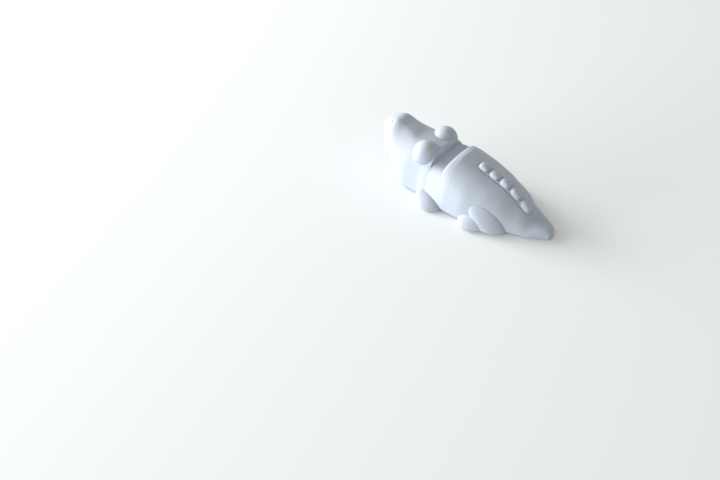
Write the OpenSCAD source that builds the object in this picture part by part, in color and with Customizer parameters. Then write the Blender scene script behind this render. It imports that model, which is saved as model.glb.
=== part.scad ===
// Toothbrush rest in the shape of a small crocodile, luted together from lumps of clay.
// The animal lies along X with its head towards +X and its left side towards +Y.
// It rests on the plane z = 0, and the origin is under the middle of the animal.
// Every length is in millimetres.

/* [Tail and trunk] */
// Length of the tail, from its blunt end to the trunk
tail_len = 11; // [8:0.5:16]
// Length of the trunk, from the tail to the saddle
trunk_len = 25.2; // [22:0.2:32]
// Width of the trunk at its widest
trunk_w = 24.2; // [21:0.2:27]
// Height of the trunk beside the saddle
trunk_h = 16.9; // [16:0.2:20]
// Height at which the belly is widest
belly_h = 1.6; // [1.2:0.1:2.4]

/* [Saddle] */
// Length of the saddle's floor, along the animal
saddle_len = 4.8; // [4.6:0.2:8]
// Height of the saddle's floor above the table
saddle_h = 13; // [11:0.5:13.5]
// Reach of the round shoulder that the trunk has at the saddle
saddle_shoulder = 3.2; // [1.5:0.1:5]

/* [Head] */
// Length of the head, from the saddle to the nose
head_len = 23.8; // [22:0.2:32]
// Width of the snout
snout_w = 13.7; // [12:0.1:15]
// Height of the top of the snout above the table
head_h = 19.2; // [17:0.1:20]
// Height of the middle of the snout's front
nose_h = 15.3; // [13:0.1:16]
// Height of the mouth above the table
mouth_h = 7; // [6:0.5:9]
// Length of the rounded end of the snout
nose_round = 7.7; // [5:0.1:9]
// Reach of the round shoulder that the head has at the saddle
nape_shoulder = 2.2; // [1:0.1:4]
// Diameter of a nostril
nostril_d = 0.8; // [0.6:0.1:1.4]
// Distance between the centres of the nostrils
nostril_apart = 5.6; // [4:0.2:7]
// Distance from the nose's end back to a nostril
nostril_place = 4.2; // [3:0.2:5]

/* [Lower jaw] */
// How far the chin stays behind the nose
chin_setback = 4; // [1:0.2:6]
// How far the jaw stays inside the side of the snout
jaw_inset = 0.15; // [0.05:0.05:1]
// Height of the chin's underside at its front
chin_h = 5.2; // [4.5:0.1:5.6]

/* [Eyes] */
// Diameter of an eye
eye_d = 8.4; // [7:0.1:9]
// Distance between the centres of the eyes
eye_apart = 9.9; // [9:0.1:11]
// Distance from the saddle to the centre of an eye
eye_place = 4.3; // [4:0.1:6]
// Height of the centre of an eye above the table
eye_h = 13.6; // [13:0.1:15]

/* [Crest] */
// Distance from bump to bump, along the animal
bump_pitch = 4; // [3.6:0.1:4.2]
// Length of a bump
bump_len = 3.4; // [2.8:0.1:3.5]
// Width of a bump
bump_w = 3.1; // [2.6:0.1:3.2]
// How far a bump stands out from the strip under it
bump_rise = 1; // [0.5:0.05:1.6]
// Width of the strip under the bumps
strip_w = 3.3; // [3.3:0.1:6]
// Thickness of the strip
strip_rise = 0.4; // [0.3:0.05:1]
// Distance from the saddle back to the middle of the first bump
bump_place = 9.9; // [8:0.1:11]
// How far the strip runs on past the last bump and before the first
strip_over = 0.3; // [0.2:0.1:1.5]

/* [Front feet] */
// Length of a front foot
front_foot_len = 10.4; // [7:0.2:12]
// How high a front foot reaches up the side
front_foot_h = 3.5; // [3:0.1:5]
// Height of the foot's thickest place
front_foot_mid_h = 1; // [0.8:0.1:2]
// How far a front foot stands out from the side
front_foot_out = 4; // [2.5:0.1:4.6]
// Slope of a front foot, down towards the tail, in degrees
front_foot_tilt = 16; // [0:1:24]
// Distance from the saddle's rear edge forwards to the middle of a front foot
front_foot_place = 2.5; // [2:0.1:4]

/* [Rear legs] */
// Length of a thigh
thigh_len = 14; // [12:0.2:16]
// Height of a thigh, square to its length
thigh_h = 6.2; // [5:0.1:7.5]
// How far a thigh stands out from the side
thigh_out = 2; // [1.5:0.1:2.8]
// Slope of a thigh, down towards the tail, in degrees
thigh_tilt = 34; // [24:1:44]
// Height of the thigh's thickest place
thigh_mid_h = 2.8; // [2.4:0.1:3.6]
// Distance from the saddle back to the middle of a thigh
thigh_place = 18.5; // [16:0.1:20]
// Length of a rear foot
rear_foot_len = 9.8; // [7:0.2:11]
// How high a rear foot reaches up the side
rear_foot_h = 4.3; // [3.6:0.1:5.4]
// Height of the foot's thickest place
rear_foot_mid_h = 1; // [0.8:0.1:2]
// How far a rear foot stands out from the side
rear_foot_out = 3.5; // [2:0.1:4]
// Distance from the middle of a thigh forwards to the middle of the foot
rear_foot_lead = 4.2; // [3:0.1:6]

/* [Fit] */
// Gap in which one lump is luted to the next
lute_gap = 0.07; // [0.06:0.01:0.1]

/* [Hidden] */

// The clay is one colour all through
clay = "#BCC3D0";

// Places along X, from the tail's end to the nose
total_len = tail_len + trunk_len + saddle_len + head_len;
tail_end_x = -total_len / 2;
trunk_x = tail_end_x + tail_len;
saddle_x = trunk_x + trunk_len;
head_x = saddle_x + saddle_len;
nose_x = head_x + head_len;
chin_x = nose_x - chin_setback;
jaw_len = chin_x - head_x;
back_len = saddle_x - tail_end_x;

// Along tail, trunk and neck: place, half width, height and squareness.
// Places are shares of back_len, widths of trunk_w / 2 and heights of trunk_h.
back_shares = [
    [0.00, 0.14, 0.155, 3.0],
    [0.05, 0.24, 0.20, 3.0],
    [0.16, 0.45, 0.24, 2.0],
    [0.31, 0.63, 0.47, 1.5],
    [0.46, 0.79, 0.665, 1.95],
    [0.62, 0.915, 0.765, 2.3],
    [0.78, 1.00, 0.866, 2.3],
    [0.90, 1.00, 0.945, 2.3],
    [1.00, 0.965, 1.00, 2.2],
    [1.14, 0.885, 1.00, 2.2]];
// How high above the back the shoulder's curve starts, as a share of the height there
shoulder_start_share = 1.1;
// Share of the shoulder's reach over which it comes in gently
shoulder_ease_share = 0.4;
// Height of the tail's widest line, as a share of its height there
tail_widest_share = 0.3;
// How far the belly's oval would reach down if the table did not cut it flat
belly_reach_share = 1.5;
belly_power = 2.4;
// Sharpness of the edge between the saddle's floor and the flanks
edge_power = 14;

// Along the head: place as a share of head_len, the way from neck width to snout width,
// and height as a share of head_h
head_shares = [
    [0.00, 0.00, 0.815],
    [0.05, 0.02, 0.815],
    [0.18, 0.15, 0.835],
    [0.38, 0.16, 0.855],
    [0.60, 0.44, 0.966],
    [0.80, 1.00, 1.00],
    [1.00, 1.00, 1.00]];
snout_power = 1.6;
// How high the snout's arch would reach if its flat top did not cut it off, as a share of the
// height there, and the sharpness of the edge along the flat top
snout_reach_share = 1.15;
snout_edge_power = 20;
// How far the oval under the cheeks would reach down if the mouth did not cut it flat
cheek_reach_share = 3;
cheek_power = 2.4;
// How much of the drawn-in nose's height its flat underside cuts off, as a share
nose_cut_share = 0.8;
nose_power = 1.95;
// Height of the head's widest line between mouth and top, as a share
head_widest_share = 0.1;
// Along the jaw: place as a share of jaw_len and height of its underside as a share of chin_h
jaw_shares = [
    [0.00, 0.00],
    [0.44, 0.00],
    [0.56, 0.04],
    [0.76, 0.38],
    [0.90, 0.78],
    [1.00, 1.00]];
jaw_power = 5;

// How much more than its middle a lump stands out on one side, as a share, and which side
// that is, as the turn from its front in degrees
haunch_share = 0.9;
haunch_turn = -143;
sole_share = 0.4;
sole_turn = -90;
// Squareness of a bump, seen from above
bump_power = 2.4;

// How many bumps there are, and how many facets the skins have
bump_count = 5;
arch_steps = 44;
belly_steps = 3;
place_steps = 26;
round_steps = 8;
lump_steps = 32;
lump_rings = 6;
lump_back_rings = 8;
strip_steps = 34;
strip_cross_steps = 8;
bump_steps = 20;
bump_rings = 3;
nostril_steps = 24;
halvings = 16;
// The drawn-in end of nose, chin or strip stops just short of its point
nearly = 0.995;

function blend(a, b, t) = a + (b - a) * t;

// Slope of a table's column at row i, level where the column turns
function rise(t, i, c) = (t[i + 1][c] - t[i][c]) / (t[i + 1][0] - t[i][0]);
function tangent(t, i, c) =
    i == 0 ? rise(t, 0, c) :
    i == len(t) - 1 ? rise(t, i - 1, c) :
    rise(t, i - 1, c) * rise(t, i, c) <= 0 ? 0 :
    2 * rise(t, i - 1, c) * rise(t, i, c) / (rise(t, i - 1, c) + rise(t, i, c));

// Smooth curve through a table's column c at share s
function row_of(t, s, i = 0) = i >= len(t) - 2 || s < t[i + 1][0] ? i : row_of(t, s, i + 1);
function curve(t, c, s) =
    let (i = row_of(t, s),
         d = t[i + 1][0] - t[i][0],
         u = (s - t[i][0]) / d)
    t[i][c] * (1 + 2 * u) * pow(1 - u, 2) + tangent(t, i, c) * d * u * pow(1 - u, 2)
    + t[i + 1][c] * u * u * (3 - 2 * u) - tangent(t, i + 1, c) * d * u * u * (1 - u);

// Distance from the centre of an oval to its edge, at angle a from straight up
function oval(w, h, power, a) =
    pow(pow(abs(sin(a)) / w, power) + pow(abs(cos(a)) / h, power), -1 / power);
// Half width of an oval at a height of dz above or below its centre
function oval_w(w, h, power, dz) = w * pow(max(0, 1 - pow(abs(dz) / h, power)), 1 / power);
// The smaller of two distances, with a small round where they cross
function soft_min(a, b, power = edge_power) = pow(pow(a, -power) + pow(b, -power), -1 / power);
// Distance at angle a to a level line that is d above
function level(d, a) = d / max(abs(cos(a)), 1 - nearly);
function quarter(u) = sqrt(max(0, 1 - u * u));
// A share that starts and ends gently
function eased(u) = let (v = min(1, max(0, u))) v * v * (3 - 2 * v);

// Tail, trunk and neck: half width, height, widest line and squareness at x
function back_share(x) = (x - tail_end_x) / back_len;
function back_w(x) = curve(back_shares, 1, back_share(x)) * trunk_w / 2;
function back_h(x) = curve(back_shares, 2, back_share(x)) * trunk_h;
function back_mid(x) = min(belly_h, tail_widest_share * back_h(x));
function back_power(x) = curve(back_shares, 3, back_share(x));

// Height of the round shoulder beside the saddle and of the saddle's floor, at a share of
// the shoulder's reach
function shoulder_share(x) = (min(x, saddle_x) - saddle_x + saddle_shoulder) / saddle_shoulder;
function shoulder_h(x) =
    saddle_h + (back_h(saddle_x - saddle_shoulder) * shoulder_start_share - saddle_h)
        * quarter(shoulder_share(x));

// Where the flank lies at x and height z, and where the back lies at x and y
function flank_y(x, z) =
    let (m = back_mid(x))
    z < m ? oval_w(back_w(x), m * belly_reach_share, belly_power, m - z) :
    oval_w(back_w(x), back_h(x) - m, back_power(x), z - m);
function back_z(x, y) =
    back_mid(x) + oval_w(back_h(x) - back_mid(x), back_w(x), back_power(x), y);

// Distance from the middle of the widest line to the skin above it
function back_reach(x, a) =
    let (top = oval(back_w(x), back_h(x) - back_mid(x), back_power(x), a),
         share = shoulder_share(x))
    share <= 0 ? top :
    blend(top, soft_min(top, level(shoulder_h(x) - back_mid(x), a)), eased(share / shoulder_ease_share));

// A ring across a body: up the right side from the floor, over the arch and down the left side
function ring_at(x, floor_z, mid_z, side_y, reach) = concat(
    [for (i = [0:belly_steps - 1])
        let (z = blend(floor_z, mid_z, i / belly_steps))
        [x, -side_y(z), z]],
    [for (i = [0:arch_steps])
        let (a = -90 + 180 * i / arch_steps)
        [x, reach(a) * sin(a), mid_z + reach(a) * cos(a)]],
    [for (i = [belly_steps - 1:-1:0])
        let (z = blend(floor_z, mid_z, i / belly_steps))
        [x, side_y(z), z]]);
function back_ring(x) =
    ring_at(x, 0, back_mid(x), function(z) flank_y(x, z), function(a) back_reach(x, a));

// Head: its section is the neck's own at the saddle and turns into the snout's
function draw_in(x, end_x) =
    let (u = max(0, (x - end_x + nose_round) / nose_round))
    pow(max(0, 1 - pow(u, nose_power)), 1 / nose_power);
function head_share(x) = (x - head_x) / head_len;
function snout_way(x) = curve(head_shares, 1, head_share(x));
function head_top(x) = curve(head_shares, 2, head_share(x)) * head_h;
function head_mid(x) =
    blend(blend(mouth_h, head_h, head_widest_share), nose_h, pow(head_share(x), 2));
function nape_share(x) = (head_x + nape_shoulder - max(x, head_x)) / nape_shoulder;
function nape_h(x) =
    saddle_h + (head_top(head_x + nape_shoulder) * shoulder_start_share - saddle_h)
        * quarter(nape_share(x));

// The neck's skin where the head starts, seen from a centre at height m
neck_w = back_w(head_x);
neck_mid = back_mid(head_x);
neck_rise = back_h(head_x) - neck_mid;
function neck_y(z) = z < neck_mid ?
    oval_w(neck_w, neck_mid * belly_reach_share, belly_power, neck_mid - z) :
    oval_w(neck_w, neck_rise, back_power(head_x), z - neck_mid);
function neck_reach(m, a, low = 0, high = neck_w + neck_rise, n = halvings) =
    let (r = (low + high) / 2)
    n == 0 ? r :
    r * abs(sin(a)) >= neck_y(m + r * cos(a)) ? neck_reach(m, a, low, r, n - 1) :
    neck_reach(m, a, r, high, n - 1);

function head_reach(x, a) =
    let (k = draw_in(x, nose_x),
         m = head_mid(x),
         nape = soft_min(neck_reach(m, a), level(head_top(x) - m, a)),
         rise = (head_top(x) - m) * k,
         arch = oval(snout_w / 2 * k, rise * snout_reach_share, snout_power, a),
         snout = soft_min(arch, level(rise, a), snout_edge_power),
         top = blend(nape, snout, snout_way(x)),
         share = nape_share(x))
    share <= 0 ? top :
    blend(top, soft_min(top, level(nape_h(x) - m, a)), eased(share / shoulder_ease_share));
// The nose stands higher than the mouth, so its underside is drawn up to it
function head_floor(x) =
    let (m = head_mid(x))
    m - (m - mouth_h) * min(1, draw_in(x, nose_x) * cheek_reach_share * nose_cut_share);
function snout_y(x, z) =
    let (m = head_mid(x),
         k = draw_in(x, nose_x))
    oval_w(snout_w / 2 * k, (m - mouth_h) * cheek_reach_share * k, cheek_power, m - z);
function cheek_y(x, z) = blend(neck_y(z), snout_y(x, z), snout_way(x));
function head_ring(x) =
    ring_at(x, head_floor(x), head_mid(x), function(z) cheek_y(x, z), function(a) head_reach(x, a));

// Lower jaw: it hangs from the mouth down to the slope of the throat, and its section is
// the neck's own at the saddle
function jaw_under(x) = curve(jaw_shares, 1, (x - head_x) / jaw_len) * chin_h;
function jaw_h(x) = (mouth_h - jaw_under(x)) * draw_in(x, chin_x);
function jaw_y(x, z) =
    let (own = oval_w(snout_w / 2, jaw_h(x) * belly_reach_share, jaw_power, mouth_h - z))
    (blend(neck_y(z), own, snout_way(x)) - jaw_inset) * draw_in(x, chin_x);
function jaw_ring(x) =
    let (half = [for (i = [0:arch_steps / 2])
            let (z = mouth_h - jaw_h(x) * sin(180 * i / arch_steps))
            [jaw_y(x, z), z]])
    concat(
        [for (p = half) [x, p.x, p.y]],
        [for (i = [len(half) - 1:-1:0]) [x, -half[i].x, half[i].y]]);

// A closed skin through rings of points, its ends drawn to a point each
module skin(rings, first, last) {
    n = len(rings[0]);
    m = len(rings);
    points = concat([for (ring = rings) each ring], [first, last]);
    sides = [for (i = [0:m - 2], j = [0:n - 1])
        let (a = i * n + j,
             b = i * n + (j + 1) % n)
        each [[a, b, b + n], [a, b + n, a + n]]];
    ends = [for (j = [0:n - 1]) each [
        [m * n, (j + 1) % n, j],
        [m * n + 1, (m - 1) * n + j, (m - 1) * n + (j + 1) % n]]];
    polyhedron(points, concat(sides, ends));
}

// Places from a to b in even steps, and places that crowd towards b
function even(a, b, n) = [for (i = [0:n]) a + (b - a) * i / n];
function crowded(a, b, n) = [for (i = [1:n]) a + (b - a) * sin(90 * i / n)];
function last_of(list) = list[len(list) - 1];

module back_piece(places) {
    color(clay)
        skin([for (x = places) back_ring(x)],
            [places[0], 0, back_mid(places[0])],
            [last_of(places), 0, back_mid(last_of(places))]);
}

module tail() {
    back_piece(even(tail_end_x, trunk_x, 2 * round_steps));
}

module trunk() {
    rim_x = saddle_x - saddle_shoulder;
    back_piece(concat(even(trunk_x, rim_x, place_steps), crowded(rim_x, saddle_x, round_steps)));
}

module neck() {
    back_piece(even(saddle_x, head_x, round_steps));
}

module head() {
    nape_x = head_x + nape_shoulder;
    drawn_x = nose_x - nose_round;
    nostril_x = nose_x - nostril_place;
    places = concat(
        [for (i = [0:round_steps - 1]) nape_x - nape_shoulder * cos(90 * i / round_steps)],
        even(nape_x, drawn_x, 2 * round_steps),
        crowded(drawn_x, blend(drawn_x, nose_x, nearly), round_steps));
    color(clay)
        difference() {
            skin([for (x = places) head_ring(x)],
                [head_x, 0, head_mid(head_x)],
                [nose_x, 0, head_mid(nose_x)]);
            for (side = [-1, 1])
                translate(on_head([nostril_x, side * nostril_apart / 2, head_top(nostril_x)]))
                    sphere(d = nostril_d, $fn = nostril_steps);
        }
}

module lower_jaw() {
    drawn_x = chin_x - nose_round;
    places = concat(even(head_x, drawn_x, 2 * round_steps),
        crowded(drawn_x, blend(drawn_x, chin_x, nearly), round_steps));
    color(clay)
        skin([for (x = places) jaw_ring(x)],
            [head_x, 0, mouth_h / 2],
            [chin_x, 0, mouth_h]);
}

// An eye is a ball pressed on the head: its cap stands out, and its back lies on the head's skin
function head_polar(p) = [norm([p.y, p.z - head_mid(p.x)]), atan2(p.y, p.z - head_mid(p.x))];
function on_head(p) =
    let (q = head_polar(p),
         r = head_reach(p.x, q[1]) + lute_gap)
    [p.x, r * sin(q[1]), head_mid(p.x) + r * cos(q[1])];
function is_out(p) = head_polar(p)[0] > head_reach(p.x, head_polar(p)[1]) + lute_gap;
module eye(side) {
    centre = [head_x + eye_place, side * eye_apart / 2, eye_h];
    lean = head_polar(centre)[1];
    function ball(b, a) = centre + eye_d / 2 * [sin(b) * cos(a),
        cos(b) * sin(lean) + sin(b) * sin(a) * cos(lean),
        cos(b) * cos(lean) - sin(b) * sin(a) * sin(lean)];
    function rim(a, low = 0, high = 180, n = halvings) =
        let (b = (low + high) / 2)
        n == 0 ? b : is_out(ball(b, a)) ? rim(a, b, high, n - 1) : rim(a, low, b, n - 1);
    angles = [for (j = [0:lump_steps - 1]) -360 * j / lump_steps];
    rims = [for (a = angles) rim(a)];
    inner = [for (k = [1:lump_back_rings]) [for (j = [0:lump_steps - 1])
        on_head(blend(on_head(centre), ball(rims[j], angles[j]), k / lump_back_rings))]];
    outer = [for (k = [1:lump_rings - 1]) [for (j = [0:lump_steps - 1])
        ball(rims[j] * (1 - k / lump_rings), angles[j])]];
    color(clay)
        skin(concat(inner, outer), on_head(centre), ball(0, 0));
}

// The strip along the back: a flat loop across the back at each place
strip_front_x = saddle_x - bump_place + bump_len / 2 + strip_over;
strip_rear_x = saddle_x - bump_place - (bump_count - 1) * bump_pitch - bump_len / 2 - strip_over;
function strip_edge(v) = quarter(pow(abs(v), 3));
function strip_half(x) =
    let (near = min(x - strip_rear_x, strip_front_x - x))
    strip_w / 2 * quarter(pow(max(0, 1 - near * 2 / strip_w), 2));
function strip_z(x, y) = back_z(x, y) + lute_gap + strip_rise * strip_edge(2 * y / strip_w);
module crest_strip() {
    inner = strip_w / 2 * (1 - nearly);
    places = [for (i = [0:strip_steps])
        blend(strip_rear_x + inner, strip_front_x - inner, (1 - cos(180 * i / strip_steps)) / 2)];
    rings = [for (x = places)
        let (half = strip_half(x),
             swell = quarter(1 - half * 2 / strip_w))
        concat(
            [for (j = [0:strip_cross_steps])
                let (y = half * cos(180 * j / strip_cross_steps))
                [x, y, back_z(x, y) + lute_gap]],
            [for (j = [1:strip_cross_steps - 1])
                let (v = -cos(180 * j / strip_cross_steps))
                [x, half * v, back_z(x, half * v) + lute_gap + strip_rise * strip_edge(v) * swell]])];
    color(clay)
        skin(rings,
            [strip_rear_x, 0, back_z(strip_rear_x, 0) + lute_gap],
            [strip_front_x, 0, back_z(strip_front_x, 0) + lute_gap]);
}

// A bump is a pillow on the strip, squarer in plan than an oval
module crest_bump(i) {
    mid_x = saddle_x - bump_place - (i - 1) * bump_pitch;
    lean = (back_z(mid_x + bump_len / 2, 0) - back_z(mid_x - bump_len / 2, 0)) / bump_len;
    function at(share, a, rise_share) =
        let (r = share * oval(bump_w / 2, bump_len / 2, bump_power, a),
             up = bump_rise * rise_share / norm([1, lean]),
             x = mid_x + r * cos(a),
             y = r * sin(a))
        [x - lean * up, y, strip_z(x, y) + lute_gap + up];
    function ring(share, rise_share) =
        [for (j = [0:bump_steps - 1]) at(share, -360 * j / bump_steps, rise_share)];
    color(clay)
        skin(concat(
                [for (k = [1:bump_rings]) ring(k / bump_rings, 0)],
                [for (k = [1:bump_rings + 1])
                    ring(cos(90 * k / (bump_rings + 2)), sin(90 * k / (bump_rings + 2)))]),
            at(0, 0, 0), at(0, 0, 1));
}

// A lump on the flank: a tilted pillow, its back on the flank and its foot flat on the table.
// A skew lets one side stand out more, and a lump that cuts another is sunk into the flank.
module lump(side, mid, size, tilt, out, skew_share, skew_turn, sink = 0) {
    function at(share, a, rise) =
        let (u = share * size.x / 2 * cos(a),
             v = share * size.y / 2 * sin(a),
             x = mid.x + u * cos(tilt) - v * sin(tilt),
             z = mid.y + u * sin(tilt) + v * cos(tilt),
             swell = 1 + skew_share * share * cos(a - skew_turn))
        [x, side * (flank_y(min(x, head_x), max(0, z)) + lute_gap + rise * swell), z];
    function ring(share, rise) =
        [for (j = [0:lump_steps - 1]) at(share, side * 360 * j / lump_steps, rise)];
    skin(concat(
            [for (k = [1:lump_back_rings]) ring(k / lump_back_rings, -sink)],
            [for (k = [sink > 0 ? 0 : 1:lump_rings - 1])
                ring(cos(90 * k / lump_rings), out * sin(90 * k / lump_rings))]),
        at(0, 0, -sink), at(0, 0, out));
}
module on_table() {
    color(clay)
        difference() {
            children();
            translate([-total_len, -total_len, -2 * total_len])
                cube(2 * total_len);
        }
}

module thigh_lump(side, grow, sink) {
    lump(side, [saddle_x - thigh_place, thigh_mid_h], [thigh_len + grow, thigh_h + grow],
        thigh_tilt, thigh_out + grow, haunch_share, haunch_turn, sink);
}

module thigh(side) {
    on_table()
        thigh_lump(side, 0, 0);
}

module rear_foot(side) {
    on_table()
        difference() {
            lump(side, [saddle_x - thigh_place + rear_foot_lead, rear_foot_mid_h],
                [rear_foot_len, (rear_foot_h - rear_foot_mid_h) * 2], 0, rear_foot_out,
                sole_share, sole_turn);
            thigh_lump(side, lute_gap, thigh_out);
        }
}

module front_foot(side) {
    on_table()
        lump(side, [saddle_x + front_foot_place, front_foot_mid_h],
            [front_foot_len, (front_foot_h - front_foot_mid_h) * 2], front_foot_tilt,
            front_foot_out, sole_share, sole_turn);
}

tail();
trunk();
neck();
head();
lower_jaw();
eye(1);  // eye_left
eye(-1);  // eye_right
crest_strip();
crest_bump(1);  // crest_bump_1
crest_bump(2);  // crest_bump_2
crest_bump(3);  // crest_bump_3
crest_bump(4);  // crest_bump_4
crest_bump(5);  // crest_bump_5
front_foot(1);  // front_foot_left
front_foot(-1);  // front_foot_right
thigh(1);  // thigh_left
thigh(-1);  // thigh_right
rear_foot(1);  // rear_foot_left
rear_foot(-1);  // rear_foot_right
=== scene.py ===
import math

import bpy
import numpy as np
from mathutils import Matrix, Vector


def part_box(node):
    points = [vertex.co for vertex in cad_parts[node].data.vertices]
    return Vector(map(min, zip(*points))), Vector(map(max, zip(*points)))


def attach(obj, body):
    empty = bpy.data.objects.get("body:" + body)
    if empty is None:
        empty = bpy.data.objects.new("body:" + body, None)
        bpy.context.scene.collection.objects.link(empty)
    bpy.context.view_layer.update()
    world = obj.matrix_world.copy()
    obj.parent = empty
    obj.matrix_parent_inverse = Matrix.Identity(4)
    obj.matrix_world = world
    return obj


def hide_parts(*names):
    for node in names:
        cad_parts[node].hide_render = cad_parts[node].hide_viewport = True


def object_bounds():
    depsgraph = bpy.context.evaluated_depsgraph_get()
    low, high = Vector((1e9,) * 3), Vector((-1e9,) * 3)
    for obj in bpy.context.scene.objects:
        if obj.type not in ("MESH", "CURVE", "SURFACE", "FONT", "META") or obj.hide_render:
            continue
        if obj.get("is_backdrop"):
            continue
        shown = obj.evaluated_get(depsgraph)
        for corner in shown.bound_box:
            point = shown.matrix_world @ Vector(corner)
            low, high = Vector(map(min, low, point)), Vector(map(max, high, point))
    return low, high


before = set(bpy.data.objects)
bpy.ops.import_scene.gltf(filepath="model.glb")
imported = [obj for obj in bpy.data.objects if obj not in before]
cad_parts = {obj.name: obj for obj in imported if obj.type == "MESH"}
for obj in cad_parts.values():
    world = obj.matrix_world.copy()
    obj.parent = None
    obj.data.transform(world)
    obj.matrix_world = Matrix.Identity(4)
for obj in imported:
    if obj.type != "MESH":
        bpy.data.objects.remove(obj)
cad_low, cad_high = (np.array(corner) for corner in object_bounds())

# Trunk: the arched body of the little crocodile, pressed by hand from pale blue-grey clay.
# It rises to a rounded rim beside the saddle, is flat underneath and widest just above the
# table. Every other lump is luted to it, and the whole figure is fired without a glaze.

TAIL_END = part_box("tail")[0].x
TRUNK_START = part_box("trunk")[0].x
SADDLE_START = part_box("neck")[0].x
HEAD_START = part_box("head")[0].x
TRUNK_HALF_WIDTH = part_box("trunk")[1].y
TRUNK_HEIGHT = 0.0169
BELLY_HEIGHT = 0.0016
SADDLE_HEIGHT = 0.013
RIM_REACH = 0.0032
BACK_LENGTH = SADDLE_START - TAIL_END

# Along tail, trunk and neck: place, half width, height and squareness. Places are shares of
# the back's length, widths of the trunk's half width and heights of its height.
BACK_SHARES = [
    [0.00, 0.14, 0.155, 3.0],
    [0.05, 0.24, 0.20, 3.0],
    [0.16, 0.45, 0.24, 2.0],
    [0.31, 0.63, 0.47, 1.5],
    [0.46, 0.79, 0.665, 1.95],
    [0.62, 0.915, 0.765, 2.3],
    [0.78, 1.00, 0.866, 2.3],
    [0.90, 1.00, 0.945, 2.3],
    [1.00, 0.965, 1.00, 2.2],
    [1.14, 0.885, 1.00, 2.2]]
RIM_START_SHARE = 1.1
EASE_SHARE = 0.4
TAIL_WIDEST_SHARE = 0.3
BELLY_REACH_SHARE = 1.5
BELLY_POWER = 2.4
EDGE_POWER = 14
# The least cosine that a distance to a level is divided by, so that it stays finite
LEAST_COSINE = 0.005

# The crest is a band with a row of scutes on it, and its seat is a shallow trough pressed along
# the back. The band reaches over the row's ends a little, and the seat runs out over its edge.
SCUTE_COUNT = 5
SCUTE_PITCH = 0.004
SCUTE_LENGTH = 0.0034
SCUTE_PLACE = 0.0099
FIRST_SCUTE = SADDLE_START - SCUTE_PLACE
BAND_OVER = 0.0003
BAND_FRONT = FIRST_SCUTE + SCUTE_LENGTH / 2 + BAND_OVER
BAND_REAR = FIRST_SCUTE - (SCUTE_COUNT - 1) * SCUTE_PITCH - SCUTE_LENGTH / 2 - BAND_OVER
BAND_HALF_WIDTH = 0.00165
SEAT_DEPTH = 0.0003
SEAT_EDGE = 0.0006

# Half the height of the kneading marks, how far apart they are along X, Y and Z, and the height
# above the table under which they fade out
KNEAD_DEPTH = 0.00005
KNEAD_WAVES = np.array([[0.0093, 0.0131, 0.0117], [0.0157, 0.0079, 0.0142], [0.0121, 0.0173, 0.0083]])
KNEAD_FADE = 0.0015
# Where each wave starts: radians for each metre of the three lengths, taken in reverse order
KNEAD_START = 1000
# The turn from face to face past which an edge stays crisp
CRISP_TURN = math.radians(40)

ARCH_STEPS = 240
# How far apart the points lie at an arch's top, as a share of their mean distance
TOP_SPACING_SHARE = 0.4
BELLY_STEPS = 10
FLOOR_STEPS = 12
TRUNK_STEPS = 120
RIM_STEPS = 26


def curve(table, column, share):
    """Smooth curve through one column of a table whose first column is the place: a cubic
    between each two rows, level where the column turns, so that it never swings past a row."""
    rows = np.asarray(table, float)
    place, value = rows[:, 0], rows[:, column]
    rise = np.diff(value) / np.diff(place)
    turns = rise[:-1] * rise[1:] <= 0
    total = np.where(turns, 1, rise[:-1] + rise[1:])
    inner = np.where(turns, 0, 2 * rise[:-1] * rise[1:] / total)
    slope = np.concatenate([rise[:1], inner, rise[-1:]])
    i = np.clip(np.searchsorted(place, share, side="right") - 1, 0, len(place) - 2)
    gap = place[i + 1] - place[i]
    u = (share - place[i]) / gap
    return (value[i] * (1 + 2 * u) * (1 - u) ** 2 + slope[i] * gap * u * (1 - u) ** 2
            + value[i + 1] * u * u * (3 - 2 * u) - slope[i + 1] * gap * u * u * (1 - u))


def blend(a, b, share):
    """The value that lies a share of the way from a to b."""
    return a + (b - a) * share


def quarter(u):
    """Height of a quarter circle of radius 1 at u from its centre."""
    return np.sqrt(np.clip(1 - u * u, 0, 1))


def eased(u):
    """A share that starts and ends gently between 0 and 1."""
    u = np.clip(u, 0, 1)
    return u * u * (3 - 2 * u)


def oval_reach(half_width, half_height, power, angle):
    """Distance from an oval's centre to its edge at an angle from straight up: the points
    where |y / half_width| ** power + |z / half_height| ** power is 1."""
    return (np.abs(np.sin(angle) / half_width) ** power
            + np.abs(np.cos(angle) / half_height) ** power) ** (-1 / power)


def oval_width(half_width, half_height, power, rise):
    """Half width of the same oval at a rise above or below its centre."""
    return half_width * np.clip(1 - np.abs(rise / half_height) ** power, 0, 1) ** (1 / power)


def soft_min(a, b, power=EDGE_POWER):
    """The smaller of two distances, with a small round where they cross."""
    return (a ** -power + b ** -power) ** (-1 / power)


def level_reach(rise, angle):
    """Distance at an angle from straight up to a level that is a rise above."""
    return rise / np.maximum(np.abs(np.cos(angle)), LEAST_COSINE)


def rounded(distance, radius):
    """How far a skin draws in, at a distance from an edge that is rounded off with a radius."""
    u = np.clip(distance / radius, 0, 1)
    return radius * (1 - quarter(1 - u))


def back_row(x, column):
    """A column of the back's table at x."""
    return curve(BACK_SHARES, column, (x - TAIL_END) / BACK_LENGTH)


def back_width(x):
    """Half width of the back at x."""
    return back_row(x, 1) * TRUNK_HALF_WIDTH


def back_height(x):
    """Height of the back at x, on its middle line."""
    return back_row(x, 2) * TRUNK_HEIGHT


def back_widest(x):
    """Height of the widest line: low on the tail, and level along the trunk."""
    return np.minimum(BELLY_HEIGHT, TAIL_WIDEST_SHARE * back_height(x))


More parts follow.
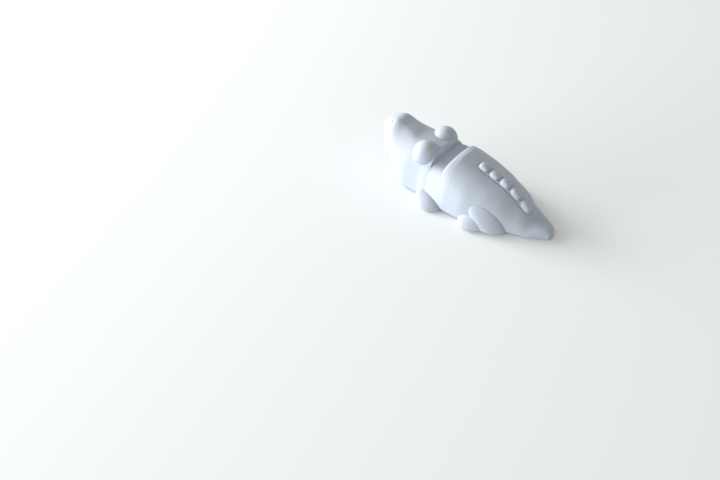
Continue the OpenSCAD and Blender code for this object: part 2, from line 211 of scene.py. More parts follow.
def flank_y(x, z):
    """Where the flank lies at x and height z: one oval above the widest line and a flatter one
    below it, which the table cuts off."""
    widest = back_widest(x)
    above = oval_width(back_width(x), back_height(x) - widest, back_row(x, 3), z - widest)
    below = oval_width(back_width(x), widest * BELLY_REACH_SHARE, BELLY_POWER, widest - z)
    return np.where(z < widest, below, above)


def back_z(x, y):
    """Height of the back at x and y."""
    widest = back_widest(x)
    return widest + oval_width(back_height(x) - widest, back_width(x), back_row(x, 3), y)


def back_reach(x, angle):
    """Distance from the middle of the widest line to the skin above it. Beside the saddle, a
    quarter round from the rim down to the saddle's floor cuts the arch off."""
    widest = back_widest(x)
    arch = oval_reach(back_width(x), back_height(x) - widest, back_row(x, 3), angle)
    rim_x = SADDLE_START - RIM_REACH
    start = back_height(np.float64(rim_x)) * RIM_START_SHARE
    u = np.clip((np.minimum(x, SADDLE_START) - rim_x) / RIM_REACH, 0, 1)
    lid = SADDLE_HEIGHT + (start - SADDLE_HEIGHT) * quarter(u)
    return blend(arch, soft_min(arch, level_reach(lid - widest, angle)), eased(u / EASE_SHARE))


def press_seat(points):
    """Presses the crest's seat into the back. It has its full depth inside the band's
    round-ended outline, and eases out to nothing past it. The underside stays flat."""
    x, y, z = np.moveaxis(points, -1, 0)
    past_end = np.maximum(0, np.maximum(x - BAND_FRONT, BAND_REAR - x) + BAND_HALF_WIDTH)
    outside = np.hypot(past_end, y) - BAND_HALF_WIDTH
    depth = SEAT_DEPTH * eased(1 - outside / SEAT_EDGE)
    return np.stack([x, y, z - np.where(z > BELLY_HEIGHT, depth, 0)], -1)


def section(x, floor, widest, side_y, reach):
    """Rings across a body, one for each x: up the right side from the floor to the widest line,
    over the arch, down the left side and back across the flat underside. side_y gives the half
    width at x and a height, and reach the distance at x and an angle."""
    x = np.atleast_2d(x).reshape(-1, 1)
    up = np.arange(BELLY_STEPS) / BELLY_STEPS
    side_z = blend(floor, widest, up)
    side = side_y(x, side_z)
    turn = np.linspace(-1, 1, ARCH_STEPS + 1)[None]
    angle = blend(turn ** 3, turn, TOP_SPACING_SHARE) * math.pi / 2
    arch = reach(x, angle)
    across = np.linspace(1, -1, FLOOR_STEPS + 1)[None, 1:-1]
    y = np.hstack([-side, arch * np.sin(angle), side[:, ::-1], side[:, :1] * across])
    z = np.hstack([side_z, widest + arch * np.cos(angle), side_z[:, ::-1],
                   np.broadcast_to(floor, (len(x), 1)) + 0 * across])
    return np.stack([np.broadcast_to(x, y.shape), y, z], -1)


def knead(points):
    """The slight unevenness of hand-pressed clay. Each axis is moved by the product of three
    slow sine waves, one along each axis, and nothing is moved up or down at the table."""
    wave = [np.prod(np.sin(points * 2 * math.pi / lengths + KNEAD_START * lengths[::-1]), -1)
            for lengths in KNEAD_WAVES]
    shift = KNEAD_DEPTH * np.stack(wave, -1)
    shift[..., 2] *= np.clip(points[..., 2] / KNEAD_FADE, 0, 1)
    return np.clip(points + shift, cad_low, cad_high)


def skin_piece(name, rings, first, last):
    """A closed skin over rings of points, an array of places along, places around and X, Y, Z.
    Four neighbours make one face, and a fan round a middle point closes each end. Smooth all
    over, but for edges where it turns by more than CRISP_TURN."""
    along, around = rings.shape[:2]
    points = np.vstack([rings.reshape(-1, 3), [first], [last]])
    i = np.arange(along - 1)[:, None] * around
    j = np.arange(around)[None]
    k = (j + 1) % around
    sides = np.stack(np.broadcast_arrays(i + j, i + around + j, i + around + k, i + k), -1).reshape(-1, 4)
    j, k, top = j[0], k[0], (along - 1) * around
    fans = np.concatenate([
        np.stack([np.full(around, along * around), j, k], -1),
        np.stack([np.full(around, along * around + 1), top + k, top + j], -1)])
    corners = np.concatenate([sides[:, [0, 1, 2]], sides[:, [0, 2, 3]], fans])
    a, b, c = (points[corners[:, m]] for m in range(3))
    if np.sum(a * np.cross(b, c)) < 0:
        sides, fans = sides[:, ::-1], fans[:, ::-1]
    mesh = bpy.data.meshes.new(name)
    mesh.from_pydata(knead(points).tolist(), [], sides.tolist() + fans.tolist())
    mesh.polygons.foreach_set("use_smooth", np.ones(len(mesh.polygons), bool))
    mesh.set_sharp_from_angle(angle=CRISP_TURN)
    piece = bpy.data.objects.new(name, mesh)
    bpy.context.scene.collection.objects.link(piece)
    return piece


# The finer marks on the fired clay: how far apart they are, how wide pits and specks are as
# shares of that, how strongly each mark colours the clay, and how deep and how strongly grain
# and pits show as relief
CLOUD_SPACING = 0.006
GRAIN_SPACING = 0.00045
PIT_SPACING = 0.0011
SPECK_SPACING = 0.0055
PIT_SHARE = 0.09
SPECK_SHARE = 0.03
GRAIN_STRENGTH = 0.5
PIT_STRENGTH = 0.25
SPECK_STRENGTH = 0.6
MARK_DEPTH = 0.00004
MARK_RELIEF = 0.35
# The clay's colours, as seen on a screen: two that cloud into each other, and darker marks
CLAY_COLOR = (184, 192, 206)
CLOUD_COLOR = (192, 198, 209)
GRAIN_COLOR = (176, 183, 196)
PIT_COLOR = (150, 155, 166)
SPECK_COLOR = (112, 110, 112)
# Roughness between the grains and on them, and the clay's shine
CLAY_ROUGHNESS = 0.7
GRAIN_ROUGHNESS = 0.5
CLAY_SHINE = 0.35


def linear(color):
    """An RGB colour of 0 to 255, as seen on a screen, as the linear colour that a shader takes."""
    share = np.array(color) / 255
    return (*np.where(share <= 0.04045, share / 12.92, ((share + 0.055) / 1.055) ** 2.4), 1.0)


def fired_clay():
    """Unglazed fired clay: a pale body colour that clouds a little from the firing, a fine
    grain in colour, roughness and height, tiny pits, and a rare dark speck."""
    material = bpy.data.materials.new("fired_clay")
    material.use_nodes = True
    tree = material.node_tree
    shader = tree.nodes["Principled BSDF"]
    shader.inputs["Specular IOR Level"].default_value = CLAY_SHINE
    place = tree.nodes.new("ShaderNodeTexCoord").outputs["Object"]

    def noise(spacing, detail):
        """Soft noise of 0 to 1, with its largest swells a spacing apart."""
        node = tree.nodes.new("ShaderNodeTexNoise")
        tree.links.new(place, node.inputs["Vector"])
        node.inputs["Scale"].default_value = 1 / spacing
        node.inputs["Detail"].default_value = detail
        return node.outputs["Fac"]

    def spread(value, low, high, start=0.0, end=1.0):
        """A value of start to end, spread over low to high."""
        node = tree.nodes.new("ShaderNodeMapRange")
        tree.links.new(value, node.inputs["Value"])
        for socket, number in (("From Min", start), ("From Max", end), ("To Min", low), ("To Max", high)):
            node.inputs[socket].default_value = number
        return node.outputs["Result"]

    def spots(spacing, share):
        """Round spots: 1 in the middle of each, and 0 past a share of the spacing from it."""
        node = tree.nodes.new("ShaderNodeTexVoronoi")
        tree.links.new(place, node.inputs["Vector"])
        node.inputs["Scale"].default_value = 1 / spacing
        return spread(node.outputs["Distance"], 1, 0, share / 2, share)

    def tint(share, first, second):
        """A colour that turns from the first to the second as the share goes from 0 to 1."""
        node = tree.nodes.new("ShaderNodeMix")
        node.data_type = "RGBA"
        tree.links.new(share, node.inputs[0])
        for socket, color in ((node.inputs[6], first), (node.inputs[7], second)):
            if isinstance(color, tuple):
                socket.default_value = color
            else:
                tree.links.new(color, socket)
        return node.outputs[2]

    cloud = spread(noise(CLOUD_SPACING, detail=3), 0, 1, start=0.3, end=0.7)
    grain = noise(GRAIN_SPACING, detail=5)
    pits = spots(PIT_SPACING, PIT_SHARE)
    specks = spots(SPECK_SPACING, SPECK_SHARE)
    color = tint(cloud, linear(CLAY_COLOR), linear(CLOUD_COLOR))
    color = tint(spread(grain, GRAIN_STRENGTH, 0, start=0.3, end=0.6), color, linear(GRAIN_COLOR))
    color = tint(spread(pits, 0, PIT_STRENGTH), color, linear(PIT_COLOR))
    color = tint(spread(specks, 0, SPECK_STRENGTH), color, linear(SPECK_COLOR))
    tree.links.new(color, shader.inputs["Base Color"])
    tree.links.new(spread(grain, CLAY_ROUGHNESS, GRAIN_ROUGHNESS), shader.inputs["Roughness"])
    height = tree.nodes.new("ShaderNodeMath")
    height.operation = "SUBTRACT"
    tree.links.new(grain, height.inputs[0])
    tree.links.new(pits, height.inputs[1])
    bump = tree.nodes.new("ShaderNodeBump")
    bump.inputs["Strength"].default_value = MARK_RELIEF
    bump.inputs["Distance"].default_value = MARK_DEPTH
    tree.links.new(height.outputs[0], bump.inputs["Height"])
    tree.links.new(bump.outputs["Normal"], shader.inputs["Normal"])
    return material


CLAY = fired_clay()


def seat(piece, node):
    """Gives a lump its clay, and puts it on the body in place of its plain solid."""
    piece.data.materials.append(CLAY)
    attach(piece, "root")
    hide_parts(node)


def back_piece(name, node, places, end_round=0):
    """A stretch of tail, trunk or neck through the places along it. The skin draws in over the
    end_round next to the tail's end."""
    x = places[:, None]
    inset = rounded(x - TAIL_END, end_round) if end_round else 0
    widest = back_widest(x)
    rings = section(x, 0 * x, widest,
                    lambda x, z: flank_y(x, z) - inset,
                    lambda x, angle: back_reach(x, angle) - inset)
    ends = ((end, 0, back_widest(end)) for end in places[[0, -1]])
    seat(skin_piece(name, press_seat(rings), *ends), node)


def crowded(start, end, steps):
    """Places from start to end that crowd towards the end, as the steps of a quarter round."""
    return start + (end - start) * np.sin(np.linspace(0, math.pi / 2, steps + 1))


back_piece("trunk_skin", "trunk", np.concatenate([
    np.linspace(TRUNK_START, SADDLE_START - RIM_REACH, TRUNK_STEPS),
    crowded(SADDLE_START - RIM_REACH, SADDLE_START, RIM_STEPS)[1:]]))

# Tail: a short stump with a blunt end, drawn out of the same arch as the trunk. Its sides
# stand steeper, which leaves a ridge along each side, and its end is dabbed round.

TAIL_END_ROUND = 0.0006
TAIL_STEPS = 60
TAIL_END_STEPS = 12

back_piece("tail_skin", "tail", np.concatenate([
    crowded(TAIL_END + TAIL_END_ROUND, TAIL_END, TAIL_END_STEPS)[:0:-1],
    np.linspace(TAIL_END + TAIL_END_ROUND, TRUNK_START, TAIL_STEPS)]), TAIL_END_ROUND)

# Neck: the low bridge between trunk and head, whose level top is the floor of the saddle. Its
# sides carry on the trunk's flanks.

NECK_STEPS = 40

back_piece("neck_skin", "neck", np.linspace(SADDLE_START, HEAD_START, NECK_STEPS))

# Head: the upper head and snout, of one lump. Its back is the neck's own section, and it
# narrows to a squarer snout with a flat top and a rounded nose that stands above the mouth.

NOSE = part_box("head")[1].x
HEAD_LENGTH = NOSE - HEAD_START
HEAD_HEIGHT = 0.0192
SNOUT_HALF_WIDTH = 0.00685
NOSE_HEIGHT = 0.0153
MOUTH_HEIGHT = 0.007
NOSE_ROUND = 0.0077
NAPE_REACH = 0.0022
# Along the head: place, the way from neck width to snout width, and height
HEAD_SHARES = [
    [0.00, 0.00, 0.815],
    [0.05, 0.02, 0.815],
    [0.18, 0.15, 0.835],
    [0.38, 0.16, 0.855],
    [0.60, 0.44, 0.966],
    [0.80, 1.00, 1.00],
    [1.00, 1.00, 1.00]]
SNOUT_POWER = 1.6
# How high the snout's arch would reach if its flat top did not cut it off, as a share of the
# height where it does
SNOUT_REACH_SHARE = 1.15
SNOUT_EDGE_POWER = 20
CHEEK_REACH_SHARE = 3
CHEEK_POWER = 2.4
NOSE_CUT_SHARE = 0.8
NOSE_POWER = 1.95
HEAD_WIDEST_SHARE = 0.1
LIP_ROUND = 0.00035
NOSTRIL_PLACE = 0.0042
NOSTRIL_APART = 0.0056
NOSTRIL_RADIUS = 0.0004
NOSTRIL_DEPTH = 0.0004
# The drawn-in nose stops just short of its point
NOSE_STOP_SHARE = 0.9995
HALVINGS = 30
HEAD_STEPS = 150
NAPE_STEPS = 20
NOSE_STEPS = 60


def draw_in(x, end):
    """How much a rounded end is drawn in at x: 1 where the round starts, and 0 at the end."""
    u = np.clip((x - end + NOSE_ROUND) / NOSE_ROUND, 0, 1)
    return (1 - u ** NOSE_POWER) ** (1 / NOSE_POWER)


def snout_way(x):
    """How far the head's section at x has turned from the neck's into the snout's."""
    return curve(HEAD_SHARES, 1, (x - HEAD_START) / HEAD_LENGTH)


def head_top(x):
    """Height of the head at x, before its nose is drawn in."""
    return curve(HEAD_SHARES, 2, (x - HEAD_START) / HEAD_LENGTH) * HEAD_HEIGHT


def head_widest(x):
    """Height of the head's widest line, which climbs from the mouth to the nose."""
    cheek = blend(MOUTH_HEIGHT, HEAD_HEIGHT, HEAD_WIDEST_SHARE)
    return blend(cheek, NOSE_HEIGHT, ((x - HEAD_START) / HEAD_LENGTH) ** 2)


def neck_y(z):
    """Half width of the neck's section where the head starts."""
    return flank_y(np.float64(HEAD_START), z)


def neck_reach(widest, angle):
    """Distance from a height on the middle line to the neck's section, found by halving."""
    low = np.zeros(np.broadcast(widest, angle).shape)
    high = low + TRUNK_HALF_WIDTH + TRUNK_HEIGHT
    for _ in range(HALVINGS):
        middle = (low + high) / 2
        out = middle * np.abs(np.sin(angle)) >= neck_y(widest + middle * np.cos(angle))
        low, high = np.where(out, low, middle), np.where(out, middle, high)
    return low


def head_reach(x, angle):
    """Distance from the middle of the widest line to the head's skin: the neck's section turns
    into the snout's arch, cut off level at its top, and a quarter round at the nape comes up
    from the saddle's floor."""
    widest, draw = head_widest(x), draw_in(x, NOSE)
    nape = soft_min(neck_reach(widest, angle), level_reach(head_top(x) - widest, angle))
    rise = (head_top(x) - widest) * draw
    arch = oval_reach(SNOUT_HALF_WIDTH * draw, rise * SNOUT_REACH_SHARE, SNOUT_POWER, angle)
    snout = soft_min(arch, level_reach(rise, angle), SNOUT_EDGE_POWER)
    skin = blend(nape, snout, snout_way(x))
    nape_end = HEAD_START + NAPE_REACH
    start = head_top(np.float64(nape_end)) * RIM_START_SHARE
    u = np.clip((nape_end - x) / NAPE_REACH, 0, 1)
    lid = SADDLE_HEIGHT + (start - SADDLE_HEIGHT) * quarter(u)
    return blend(skin, soft_min(skin, level_reach(lid - widest, angle)), eased(u / EASE_SHARE))


def head_floor(x):
    """Height of the head's flat underside: the mouth, drawn up to the nose at its end."""
    widest = head_widest(x)
    cut = np.minimum(1, draw_in(x, NOSE) * CHEEK_REACH_SHARE * NOSE_CUT_SHARE)
    return widest - (widest - MOUTH_HEIGHT) * cut


def cheek_y(x, z):
    """Half width of the head at x and a height under its widest line, rounded at the lip."""
    widest, draw = head_widest(x), draw_in(x, NOSE)
    snout = oval_width(SNOUT_HALF_WIDTH * draw, (widest - MOUTH_HEIGHT) * CHEEK_REACH_SHARE * draw,
                       CHEEK_POWER, widest - z)
    lip = rounded(z - head_floor(x), LIP_ROUND) * snout_way(x) * draw
    return blend(neck_y(z), snout, snout_way(x)) - lip


def nostrils(points):
    """Presses two small dimples into the top of the nose: a bell that is deepest in its middle
    and level at its edge."""
    x = NOSE - NOSTRIL_PLACE
    for y in (-NOSTRIL_APART / 2, NOSTRIL_APART / 2):
        away = np.hypot(points[..., 0] - x, points[..., 1] - y) / NOSTRIL_RADIUS
        above = points[..., 2] > NOSE_HEIGHT
        points[..., 2] -= NOSTRIL_DEPTH * np.where(above & (away < 1), (1 - away ** 2) ** 2, 0)
    return points


nape_places = HEAD_START + NAPE_REACH * (1 - np.cos(np.linspace(0, math.pi / 2, NAPE_STEPS)))
head_places = np.concatenate([
    nape_places,
    np.linspace(HEAD_START + NAPE_REACH, NOSE - NOSE_ROUND, HEAD_STEPS)[1:],
    crowded(NOSE - NOSE_ROUND, blend(NOSE - NOSE_ROUND, NOSE, NOSE_STOP_SHARE), NOSE_STEPS)[1:]])[:, None]
head_rings = section(head_places, head_floor(head_places), head_widest(head_places), cheek_y, head_reach)
seat(skin_piece("head_skin", nostrils(head_rings),
                (HEAD_START, 0, head_widest(HEAD_START)), (NOSE, 0, head_widest(NOSE))), "head")

# Lower jaw: a flatter lump under the mouth. The throat is cut away under it, from the table
# at the neck up to the chin, and its lip stands a little inside the cheek.

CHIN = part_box("lower_jaw")[1].x
JAW_LENGTH = CHIN - HEAD_START
JAW_INSET = 0.00015
CHIN_HEIGHT = 0.0052
# Along the jaw: place, and height of its underside as a share of the chin's
JAW_SHARES = [
    [0.00, 0.00],
    [0.44, 0.00],
    [0.56, 0.04],
    [0.76, 0.38],
    [0.90, 0.78],
    [1.00, 1.00]]
JAW_POWER = 5
JAW_STEPS = 130
JAW_SIDE_STEPS = 60
JAW_ACROSS_STEPS = 16


def jaw_height(x):
    """How far the jaw hangs down from the mouth at x."""
    under = curve(JAW_SHARES, 1, (x - HEAD_START) / JAW_LENGTH) * CHIN_HEIGHT
    return (MOUTH_HEIGHT - under) * draw_in(x, CHIN)


def jaw_y(x, z):
    """Half width of the jaw at x and height z: the neck's section turns into half of an oval
    that hangs from the mouth, rounded at the lip."""
    own = oval_width(SNOUT_HALF_WIDTH, jaw_height(x) * BELLY_REACH_SHARE, JAW_POWER, MOUTH_HEIGHT - z)
    lip = rounded(MOUTH_HEIGHT - z, LIP_ROUND) * snout_way(x)
    return (blend(neck_y(z), own, snout_way(x)) - JAW_INSET - lip) * draw_in(x, CHIN)


def jaw_rings(x):
    """Rings round the jaw: down the left side, across the underside, up the right side and back
    across the mouth. The sides' points crowd towards the underside."""
    z = MOUTH_HEIGHT - jaw_height(x) * np.sin(np.linspace(0, math.pi / 2, JAW_SIDE_STEPS))
    y = jaw_y(x, z)
    across = np.linspace(1, -1, JAW_ACROSS_STEPS)[None, 1:-1]
    ring_y = np.hstack([y, y[:, -1:] * across, -y[:, ::-1], y[:, :1] * -across])
    ring_z = np.hstack([z, z[:, -1:] + 0 * across, z[:, ::-1], z[:, :1] + 0 * across])
    return np.stack([x + 0 * ring_y, ring_y, ring_z], -1)


jaw_places = np.concatenate([
    np.linspace(HEAD_START, CHIN - NOSE_ROUND, JAW_STEPS),
    crowded(CHIN - NOSE_ROUND, blend(CHIN - NOSE_ROUND, CHIN, NOSE_STOP_SHARE), NOSE_STEPS)[1:]])[:, None]
seat(skin_piece("jaw_skin", jaw_rings(jaw_places),
                (HEAD_START, 0, MOUTH_HEIGHT / 2), (CHIN, 0, MOUTH_HEIGHT)), "lower_jaw")

# Eyes: two balls of clay pressed into the head behind the snout, so that a little more than
# half of each stands out.

EYE_RADIUS = 0.0042
EYE_APART = 0.0099
EYE_PLACE = 0.0043
EYE_HEIGHT = 0.0136
# How far an eye reaches into the head, as the turn from its top to its flat back
EYE_SUNK_TURN = math.radians(125)
EYE_AROUND = 160
EYE_RINGS = 80


def eye(side):
    """Rings round an eye: a ball from its top down past the head's skin, which it is pressed
    into, and the middle of its flat back."""
    centre = np.array([HEAD_START + EYE_PLACE, side * EYE_APART / 2, EYE_HEIGHT])
    lean = math.atan2(centre[1], centre[2] - head_widest(centre[0]))
    across = np.array([0, math.cos(lean), -math.sin(lean)])
    out = np.array([0, math.sin(lean), math.cos(lean)])
    around = np.linspace(0, -2 * math.pi, EYE_AROUND, endpoint=False)[None, :, None]
    polar = np.linspace(EYE_SUNK_TURN, 0, EYE_RINGS + 1)[:-1, None, None]
    flat = np.cos(around) * np.array([1, 0, 0]) + np.sin(around) * across
    rings = centre + EYE_RADIUS * (np.sin(polar) * flat + np.cos(polar) * out)
    return rings, centre + EYE_RADIUS * math.cos(EYE_SUNK_TURN) * out, centre + EYE_RADIUS * out


seat(skin_piece("eye_left_ball", *eye(1)), "eye_left")
seat(skin_piece("eye_right_ball", *eye(-1)), "eye_right")

# Crest: a flat band of clay laid in its seat along the back, with five round-cornered scutes in
# a row on it, nearly touching. Each scute leans with the slope of the back.

# The gap in which one lump is luted to the next
LUTE_GAP = 0.00007
BAND_THICKNESS = 0.0004
SCUTE_WIDTH = 0.0031
SCUTE_RISE = 0.0012
SCUTE_POWER = 2.8
# A scute's side is a quarter round with this power of its sine and cosine: below 1 is squarer
SCUTE_SIDE_POWER = 0.85
BAND_STEPS = 260
BAND_CROSS_STEPS = 36
SCUTE_AROUND = 96
SCUTE_RINGS = 30


def seat_z(x, y):
    """Height of the band's underside at x and y, a luting gap above the seat."""
    return back_z(x, y) - SEAT_DEPTH + LUTE_GAP


def band_swell(v):
    """Thickness of the band at a share v of its half width: even across, and rounded off to
    nothing at its edges."""
    return BAND_THICKNESS * quarter(np.abs(v) ** 3)


def band_z(x, y):
    """Height of the band's top at x and y."""
    return seat_z(x, y) + band_swell(np.clip(np.abs(y) / BAND_HALF_WIDTH, 0, 1))


def band_rings():
    """Loops across the band: along the back under it, and back over its top. Its half width
    draws in to a round at each end, where its rise runs out too."""
    way = (1 - np.cos(np.linspace(0, math.pi, BAND_STEPS)[1:-1, None])) / 2
    x = blend(BAND_REAR, BAND_FRONT, way)
    near = np.minimum(x - BAND_REAR, BAND_FRONT - x)
    half = BAND_HALF_WIDTH * quarter(np.clip(1 - near / BAND_HALF_WIDTH, 0, 1) ** 2)
    v = np.cos(np.linspace(0, math.pi, BAND_CROSS_STEPS + 1))[None]
    over = v[:, ::-1][:, 1:-1]
    top = seat_z(x, half * over) + band_swell(over) * quarter(1 - half / BAND_HALF_WIDTH)
    y = np.hstack([half * v, half * over])
    return np.stack([x + 0 * y, y, np.hstack([seat_z(x, half * v), top])], -1)


def band_end(x):
    """Middle point of the band's end at x."""
    return (x, 0, seat_z(np.float64(x), 0.0))


seat(skin_piece("crest_band", band_rings(), band_end(BAND_REAR), band_end(BAND_FRONT)), "crest_strip")


def scute(number):
    """Rings round a scute: out over the band under it, and back over a dome, which stands
    square to the back. Seen from above, each ring is a squarish oval."""
    middle = FIRST_SCUTE - (number - 1) * SCUTE_PITCH
    front, rear = (back_z(np.float64(middle + step * SCUTE_LENGTH / 2), 0.0) for step in (1, -1))
    lean = (front - rear) / SCUTE_LENGTH
    around = np.linspace(0, -2 * math.pi, SCUTE_AROUND, endpoint=False)

    def ring(share, rise_share):
        reach = share * oval_reach(SCUTE_WIDTH / 2, SCUTE_LENGTH / 2, SCUTE_POWER, around)
        up = SCUTE_RISE * rise_share / math.hypot(1, lean)
        x, y = middle + reach * np.cos(around), reach * np.sin(around)
        return np.stack([x - lean * up, y, band_z(x, y) + LUTE_GAP + up], -1)

    under = [ring(share, 0) for share in np.linspace(0, 1, SCUTE_RINGS // 3 + 1)[1:]]
    dome = [ring(math.cos(turn) ** SCUTE_SIDE_POWER, math.sin(turn) ** SCUTE_SIDE_POWER)
            for turn in np.linspace(0, math.pi / 2, SCUTE_RINGS + 1)[1:-1]]
    return np.array(under + dome), ring(0, 0)[0], ring(0, 1)[0]


for number in range(1, SCUTE_COUNT + 1):
    seat(skin_piece(f"scute_{number}", *scute(number)), f"crest_bump_{number}")

# Legs: front feet, thighs and rear feet are flattened balls of clay, pressed on the flanks.
# Each is flat where it stands on the table, and a thigh lies over the top of its rear foot.

THIGH_LENGTH = 0.014
THIGH_WIDTH = 0.0062
THIGH_OUT = 0.002
THIGH_TILT = math.radians(34)
THIGH_MIDDLE_HEIGHT = 0.0028
THIGH_PLACE = 0.0185
# By which share a lump stands out more on one side, and the turn from its front to that side
HAUNCH_SHARE = 0.9
HAUNCH_TURN = math.radians(-143)
REAR_FOOT_LENGTH = 0.0098
REAR_FOOT_HEIGHT = 0.0043
REAR_FOOT_OUT = 0.0035
REAR_FOOT_LEAD = 0.0042
FRONT_FOOT_LENGTH = 0.0104
FRONT_FOOT_HEIGHT = 0.0035
FRONT_FOOT_TILT = math.radians(16)
FRONT_FOOT_OUT = 0.004
FRONT_FOOT_PLACE = 0.0025
FOOT_MIDDLE_HEIGHT = 0.001
SOLE_SHARE = 0.4
SOLE_TURN = math.radians(-90)
LUMP_AROUND = 240
LUMP_RINGS = 90
LUMP_BACK_RINGS = 16


def lump(side, x, z, length, width, tilt, out, skew, skew_turn):
    """Rings round a lump on a flank: its oval back follows the flank, and a dome stands out
    from it, by more on the side that it is skewed to. What would reach under the table is
    level with it."""
    around = np.linspace(0, side * 2 * math.pi, LUMP_AROUND, endpoint=False)

    def ring(share, rise):
        u, v = share * length / 2 * np.cos(around), share * width / 2 * np.sin(around)
        at_x = x + u * math.cos(tilt) - v * math.sin(tilt)
        at_z = np.maximum(0, z + u * math.sin(tilt) + v * math.cos(tilt))
        swell = 1 + skew * share * np.cos(around - skew_turn)
        y = flank_y(np.minimum(at_x, HEAD_START), at_z) + LUTE_GAP + rise * swell
        return np.stack([at_x, side * y, at_z], -1)

    back = [ring(share, 0) for share in np.linspace(0, 1, LUMP_BACK_RINGS + 1)[1:]]
    dome = [ring(math.cos(turn), out * math.sin(turn))
            for turn in np.linspace(0, math.pi / 2, LUMP_RINGS + 1)[1:-1]]
    return np.array(back + dome), ring(0, 0)[0], ring(0, out)[0]


for name, side in (("left", 1), ("right", -1)):
    thigh = lump(side, SADDLE_START - THIGH_PLACE, THIGH_MIDDLE_HEIGHT,
                 THIGH_LENGTH, THIGH_WIDTH, THIGH_TILT, THIGH_OUT, HAUNCH_SHARE, HAUNCH_TURN)
    seat(skin_piece(f"thigh_{name}_skin", *thigh), f"thigh_{name}")
    rear_foot = lump(side, SADDLE_START - THIGH_PLACE + REAR_FOOT_LEAD, FOOT_MIDDLE_HEIGHT,
                     REAR_FOOT_LENGTH, 2 * (REAR_FOOT_HEIGHT - FOOT_MIDDLE_HEIGHT), 0, REAR_FOOT_OUT,
                     SOLE_SHARE, SOLE_TURN)
    seat(skin_piece(f"rear_foot_{name}_skin", *rear_foot), f"rear_foot_{name}")
    front_foot = lump(side, SADDLE_START + FRONT_FOOT_PLACE, FOOT_MIDDLE_HEIGHT,
                      FRONT_FOOT_LENGTH, 2 * (FRONT_FOOT_HEIGHT - FOOT_MIDDLE_HEIGHT), FRONT_FOOT_TILT,
                      FRONT_FOOT_OUT, SOLE_SHARE, SOLE_TURN)
    seat(skin_piece(f"front_foot_{name}_skin", *front_foot), f"front_foot_{name}")

# Table: a plain matt white top that takes the figure's soft shadow. The camera sees it nearly
# white.

TABLE_SPAN = 3.0
TABLE_COLOR = (238, 240, 242)
TABLE_ROUGHNESS = 0.8
TABLE_SHINE = 0.2
TABLE_GLOW = 0.06


def table_top():
    """Flat grid of points, level with the table."""
    steps = np.linspace(-TABLE_SPAN / 2, TABLE_SPAN / 2, 3)
    x, y = np.meshgrid(steps, steps)
    points = np.stack([x, y, 0 * x], -1).reshape(-1, 3)
    mesh = bpy.data.meshes.new("table_top")
    mesh.from_pydata(points.tolist(), [], [(0, 1, 4, 3), (1, 2, 5, 4), (3, 4, 7, 6), (4, 5, 8, 7)])
    top = bpy.data.objects.new("table_top", mesh)
    bpy.context.scene.collection.objects.link(top)
    return top


def white_top():
    """Matt white, with a glow that the camera sees, also in a reflection or through glass, and
    that lights nothing else."""
    material = bpy.data.materials.new("white_top")
    material.use_nodes = True
    tree = material.node_tree
    shader = tree.nodes["Principled BSDF"]
    shader.inputs["Base Color"].default_value = linear(TABLE_COLOR)
    shader.inputs["Roughness"].default_value = TABLE_ROUGHNESS
    shader.inputs["Specular IOR Level"].default_value = TABLE_SHINE
    path = tree.nodes.new("ShaderNodeLightPath")
    seen = path.outputs["Is Camera Ray"]
    for kind in ("Is Glossy Ray", "Is Transmission Ray"):
        either = tree.nodes.new("ShaderNodeMath")
        either.operation = "MAXIMUM"
        tree.links.new(seen, either.inputs[0])
        tree.links.new(path.outputs[kind], either.inputs[1])
        seen = either.outputs[0]
    glow = tree.nodes.new("ShaderNodeEmission")
    level = tree.nodes.new("ShaderNodeMath")
    level.operation = "MULTIPLY"
    level.inputs[1].default_value = TABLE_GLOW
    tree.links.new(seen, level.inputs[0])
    tree.links.new(level.outputs[0], glow.inputs["Strength"])
    both = tree.nodes.new("ShaderNodeAddShader")
    tree.links.new(shader.outputs[0], both.inputs[0])
    tree.links.new(glow.outputs[0], both.inputs[1])
    tree.links.new(both.outputs[0], tree.nodes["Material Output"].inputs["Surface"])
    return material


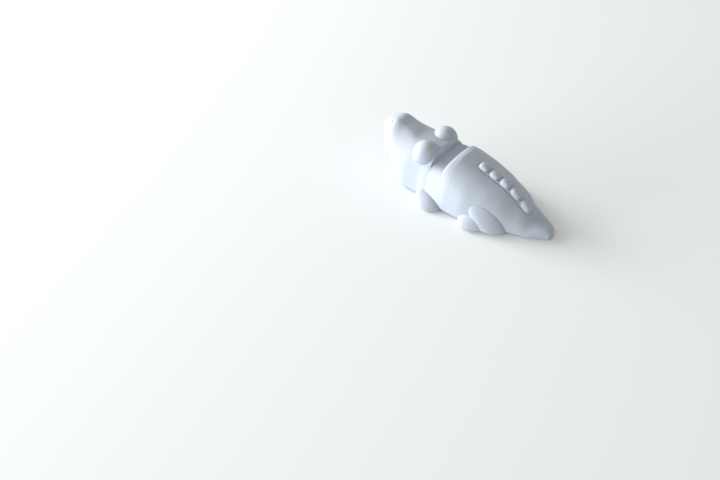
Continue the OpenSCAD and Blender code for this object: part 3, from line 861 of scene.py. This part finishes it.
table = table_top()
table.data.materials.append(white_top())
table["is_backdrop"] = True

# Daylight: a wide, low window to the figure's left front, two weaker ones in front of it, and
# the pale walls of a room that fill in the rest.

SKY_COLOR = (0.96, 0.985, 1.0)
WALL_COLOR = (0.97, 0.99, 0.93)
ROOM_LEVEL = 0.49


def window(name, heading, climb, away, span, level):
    """A window that faces the figure, at a heading and climb in degrees and a distance away. A
    matt white face that is turned to it shows at the level."""
    lamp = bpy.data.lights.new(name, "AREA")
    lamp.shape = "RECTANGLE"
    lamp.size, lamp.size_y = span
    lamp.color = SKY_COLOR
    lamp.energy = level * math.pi ** 2 * away ** 2
    light = bpy.data.objects.new(name, lamp)
    heading, climb = math.radians(heading), math.radians(climb)
    ahead, aside = math.cos(climb) * math.cos(heading), math.cos(climb) * math.sin(heading)
    towards = Vector((ahead, aside, math.sin(climb)))
    light.location = towards * away
    light.rotation_euler = (-towards).to_track_quat("-Z", "Y").to_euler()
    bpy.context.scene.collection.objects.link(light)


window("side_window", heading=48, climb=6, away=0.8, span=(0.8, 0.14), level=1.16)
window("high_window", heading=8, climb=26, away=1.0, span=(0.5, 0.3), level=0.56)
window("front_window", heading=8, climb=14, away=1.0, span=(0.4, 0.2), level=0.58)

room = bpy.data.worlds.new("room")
room.use_nodes = True
room.node_tree.nodes["Background"].inputs["Color"].default_value = (*WALL_COLOR, 1.0)
room.node_tree.nodes["Background"].inputs["Strength"].default_value = ROOM_LEVEL
bpy.context.scene.world = room

# Camera: it looks down on the figure from its left rear.

CAMERA_PLACE = Vector((-0.13405, 0.21270, 0.20490))
CAMERA_AIM = Vector((0.0122, 0.0384, 0))

lens = bpy.data.cameras.new("camera")
lens.lens = 50
lens.sensor_width = 36
camera = bpy.data.objects.new("camera", lens)
camera.location = CAMERA_PLACE
camera.rotation_euler = (CAMERA_AIM - CAMERA_PLACE).to_track_quat("-Z", "Y").to_euler()
bpy.context.scene.collection.objects.link(camera)
bpy.context.scene.camera = camera
bpy.context.scene.view_settings.view_transform = "Standard"
